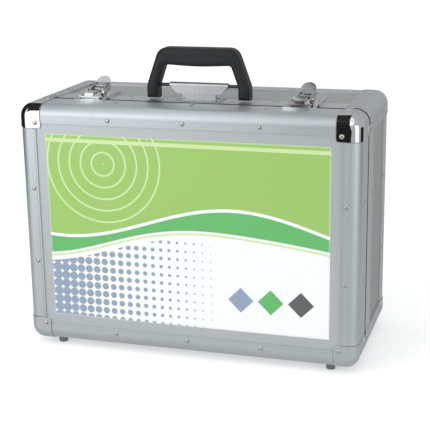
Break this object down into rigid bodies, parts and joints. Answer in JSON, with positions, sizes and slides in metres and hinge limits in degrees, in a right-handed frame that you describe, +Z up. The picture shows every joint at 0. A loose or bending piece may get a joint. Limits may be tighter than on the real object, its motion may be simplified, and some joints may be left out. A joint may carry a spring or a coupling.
{
  "type": "tool case",
  "caption": "Tool case with aluminium edges and riveted rounded corners, standing on its hinge side, with draw latches, a folding handle, a lined base with dividers and a hinged lid.",
  "frame": {"origin": "floor under the middle of the case's bounding box, standing on its hinge-side feet", "axes": "+X across the case to the right, +Y from the lid to the back, +Z up to the handle"},
  "size_m": [0.3246, 0.1576, 0.2855],
  "materials": {
    "panel": "silver faced composite board, finely brushed",
    "extrusion": "satin anodised extrusion with fine ribs",
    "corner": "satin pressed corner",
    "chrome": "bright plated pressing",
    "rivet": "domed rivet",
    "steel": "zinc plated steel",
    "rod": "blackened rod",
    "grip": "matte moulded plastic",
    "foot": "matte foot",
    "lining": "foam-backed cloth",
    "divider": "textured board",
    "loop": "woven elastic",
    "label": "printed sheet in greens and white"
  },
  "bodies": {
    "base": {"base_back_panel": "panel", "base_wall_top": "panel", "base_wall_bottom": "panel", "base_wall_left": "panel", "base_wall_right": "panel", "base_edge_top": "extrusion", "base_edge_bottom": "extrusion", "base_edge_left": "extrusion", "base_edge_right": "extrusion", "base_rim_top": "extrusion", "base_rim_bottom": "extrusion", "base_rim_left": "extrusion", "base_rim_right": "extrusion", "base_corner_posts": "corner", "base_corner_caps": "corner", "base_rivets": "rivet", "base_lining": "lining", "divider_long": "divider", "dividers_cross": "divider", "base_feet": "foot", "back_feet": "foot", "handle_bracket": "steel", "latch_plate_left": "chrome", "latch_plate_right": "chrome", "latch_pins": "steel", "hinge_base_leaves": "steel", "hinge_pins": "steel", "stay_stud": "steel"},
    "lid": {"lid_face_panel": "panel", "label_sheet": "label", "lid_wall_boards": "panel", "lid_edge_top": "extrusion", "lid_edge_bottom": "extrusion", "lid_edge_left": "extrusion", "lid_edge_right": "extrusion", "lid_rim_top": "extrusion", "lid_rim_bottom": "extrusion", "lid_rim_left": "extrusion", "lid_rim_right": "extrusion", "lid_corner_guards": "corner", "lid_chrome_caps": "chrome", "lid_plain_caps": "corner", "lid_rivets": "rivet", "lid_feet": "foot", "lid_lining": "lining", "tool_pallet": "divider", "tool_loops": "loop", "latch_keepers": "chrome", "hinge_lid_leaves": "steel", "stay_pivot": "steel"},
    "handle": {"handle_grip": "grip", "handle_rod": "rod"},
    "lever_left": {"latch_lever_left": "chrome"},
    "claw_left": {"latch_claw_left": "chrome"},
    "plug_left": {"lock_plug_left": "chrome"},
    "lever_right": {"latch_lever_right": "chrome"},
    "claw_right": {"latch_claw_right": "chrome"},
    "plug_right": {"lock_plug_right": "chrome"},
    "stay": {"stay_arm": "steel"}
  },
  "joints": [
    {"name": "lid_hinge", "type": "hinge", "parent": "base", "child": "lid", "pos_m": [0, -0.0392, 0.0035], "axis": [1, 0, 0], "range_deg": [0, 100]},
    {"name": "handle_fold", "type": "hinge", "parent": "base", "child": "handle", "pos_m": [0, -0.0252, 0.2505], "axis": [1, 0, 0], "range_deg": [-90, 90]},
    {"name": "latch_left", "type": "hinge", "parent": "base", "child": "lever_left", "pos_m": [-0.1, -0.0312, 0.2415], "axis": [1, 0, 0], "range_deg": [-12, 93]},
    {"name": "claw_swing_left", "type": "hinge", "parent": "lever_left", "child": "claw_left", "pos_m": [-0.1, -0.02435, 0.24296], "axis": [1, 0, 0], "range_deg": [-93, 12]},
    {"name": "lock_left", "type": "hinge", "parent": "lever_left", "child": "plug_left", "pos_m": [-0.1, -0.01682, 0.24456], "axis": [0, -0.2079, 0.9781], "range_deg": [0, 90]},
    {"name": "latch_right", "type": "hinge", "parent": "base", "child": "lever_right", "pos_m": [0.1, -0.0312, 0.2415], "axis": [1, 0, 0], "range_deg": [-12, 93]},
    {"name": "claw_swing_right", "type": "hinge", "parent": "lever_right", "child": "claw_right", "pos_m": [0.1, -0.02435, 0.24296], "axis": [1, 0, 0], "range_deg": [-93, 12]},
    {"name": "lock_right", "type": "hinge", "parent": "lever_right", "child": "plug_right", "pos_m": [0.1, -0.01682, 0.24456], "axis": [0, -0.2079, 0.9781], "range_deg": [0, 90]},
    {"name": "stay_swing", "type": "hinge", "parent": "lid", "child": "stay", "pos_m": [-0.15015, -0.0462, 0.06211], "axis": [1, 0, 0], "range_deg": [-50, 0]}
  ],
  "couplings": [
    {"joint": "claw_swing_left", "follows": "latch_left", "ratio": -1},
    {"joint": "claw_swing_right", "follows": "latch_right", "ratio": -1},
    {"joint": "stay_swing", "follows": "lid_hinge", "ratio": -0.5}
  ]
}
